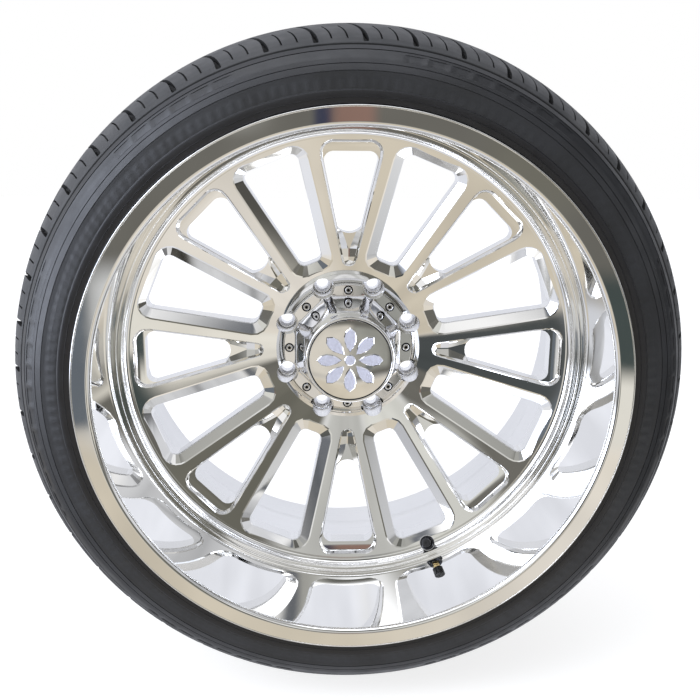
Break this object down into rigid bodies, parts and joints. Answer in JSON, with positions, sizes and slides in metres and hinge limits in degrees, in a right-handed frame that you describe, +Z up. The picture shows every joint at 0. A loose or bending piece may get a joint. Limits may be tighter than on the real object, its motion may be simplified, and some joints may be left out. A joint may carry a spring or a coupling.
{
  "type": "forged deep-lip wheel with tyre",
  "caption": "Mirror-polished deep-lip forged wheel for a stud hub, with slotted spokes, a bolted centre cap, a clamp-in air valve and a low-profile tyre mounted.",
  "frame": {"origin": "on the axle line, midway across the rim", "axes": "+Y along the axle towards the vehicle, so the outboard face looks towards -Y; +Z up, with the valve near the bottom"},
  "size_m": [0.8296, 0.381, 0.8296],
  "materials": {
    "polished_aluminium": "mirror polished",
    "tyre_rubber": "moulded, slightly dusty",
    "cord_in_rubber": "steel cords laid in rubber",
    "steel_cord": "drawn",
    "seal_rubber": "matt",
    "emblem_satin": "satin silver",
    "screw_steel": "bright",
    "valve_brass": "turned",
    "black_hardware": "black anodised",
    "black_plastic": "knurled"
  },
  "bodies": {
    "wheel": {"wheel_forging": "polished_aluminium", "cap_body": "polished_aluminium", "cap_plate": "polished_aluminium", "tyre_casing": "tyre_rubber", "tread_band": "tyre_rubber", "bead_core_outboard": "steel_cord", "bead_core_inboard": "steel_cord", "belt_package": "cord_in_rubber", "cap_gasket": "seal_rubber", "cap_o_ring": "seal_rubber", "valve_grommet": "seal_rubber", "cap_emblem": "emblem_satin", "cap_screw_1": "screw_steel", "cap_screw_2": "screw_steel", "cap_screw_3": "screw_steel", "cap_screw_4": "screw_steel", "cap_screw_5": "screw_steel", "cap_screw_6": "screw_steel", "cap_screw_7": "screw_steel", "cap_screw_8": "screw_steel", "valve_core_spring": "screw_steel", "valve_stem": "valve_brass", "valve_core_body": "valve_brass", "valve_nut": "black_hardware", "valve_washer": "black_hardware"},
    "cap_seal": {"valve_cap_seal": "seal_rubber"},
    "cap_shell": {"valve_cap": "black_plastic"},
    "core_pin": {"valve_pin": "valve_brass"}
  },
  "joints": [
    {"name": "valve_cap_lift", "type": "slide", "parent": "wheel", "child": "cap_seal", "axis": [-0.1855, -0.8746, 0.4479], "range_m": [0, 0.008]},
    {"name": "valve_cap_turn", "type": "hinge", "parent": "cap_seal", "child": "cap_shell", "pos_m": [0.10926, -0.0302, -0.26377], "axis": [-0.1855, -0.8746, 0.4479], "range_deg": [0, 3640]},
    {"name": "valve_pin_press", "type": "slide", "parent": "wheel", "child": "core_pin", "axis": [0.1855, 0.8746, -0.4479], "range_m": [0, 0.0015], "stiffness_N_per_m": 800}
  ],
  "couplings": [
    {"joint": "valve_cap_turn", "follows": "valve_cap_lift", "rad_per_m": 7913.3}
  ]
}
